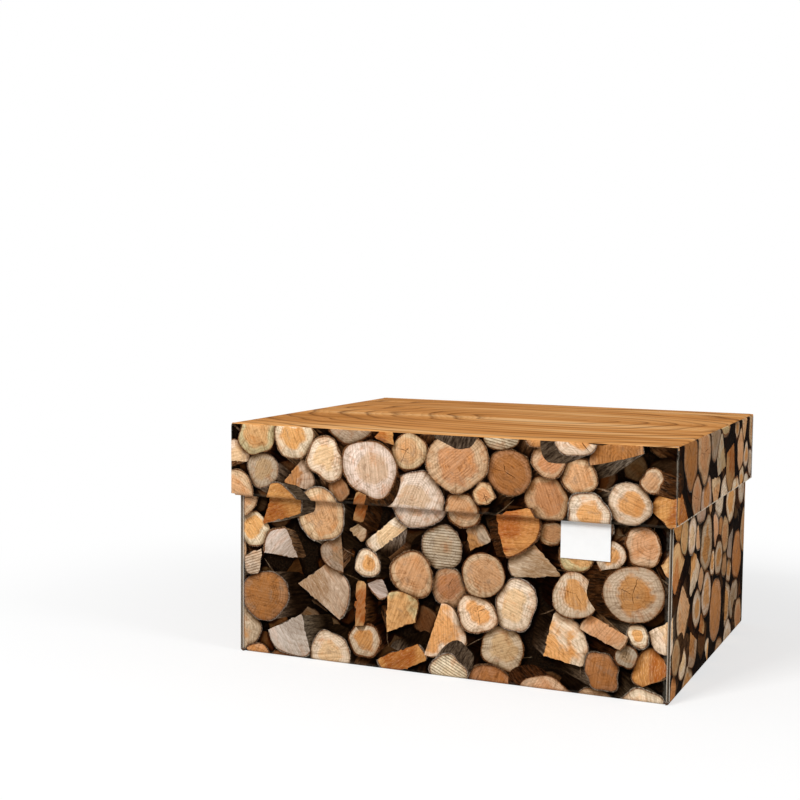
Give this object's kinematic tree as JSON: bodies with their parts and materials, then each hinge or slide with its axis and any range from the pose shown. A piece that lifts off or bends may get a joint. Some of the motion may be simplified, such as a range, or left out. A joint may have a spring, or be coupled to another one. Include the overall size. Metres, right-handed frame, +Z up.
{
  "type": "kindling box",
  "caption": "Folded corrugated-board kindling box: an open tray with rolled end walls, and a deep telescoping lid with a hanging label tag.",
  "frame": {"origin": "centre of the box's underside, on the surface it stands on", "axes": "+Z up, +X along the long side to the right as seen from the front, front with the label tag facing -Y"},
  "size_m": [0.3944, 0.3248, 0.205],
  "materials": {
    "log_print_board": "satin",
    "plank_print_board": "satin",
    "white_liner_board": "matte",
    "label_stock": "matte"
  },
  "bodies": {
    "box": {"base_panel": "white_liner_board", "front_wall": "log_print_board", "back_wall": "log_print_board", "left_end_outer": "log_print_board", "right_end_outer": "log_print_board", "left_end_rim": "log_print_board", "right_end_rim": "log_print_board", "left_end_inner": "white_liner_board", "right_end_inner": "white_liner_board", "front_left_flap": "log_print_board", "front_right_flap": "log_print_board", "back_left_flap": "log_print_board", "back_right_flap": "log_print_board"},
    "lid": {"lid_top_panel": "plank_print_board", "lid_left_end": "log_print_board", "lid_right_end": "log_print_board", "lid_front_skirt": "log_print_board", "lid_back_skirt": "log_print_board", "lid_front_rim": "log_print_board", "lid_back_rim": "log_print_board", "lid_front_inner": "white_liner_board", "lid_back_inner": "white_liner_board", "lid_front_left_flap": "log_print_board", "lid_front_right_flap": "log_print_board", "lid_back_left_flap": "log_print_board", "lid_back_right_flap": "log_print_board", "label_tab": "label_stock"}
  },
  "joints": [
    {"name": "lid_lift", "type": "slide", "parent": "box", "child": "lid", "axis": [0, 0, 1], "range_m": [0, 0.3]}
  ]
}
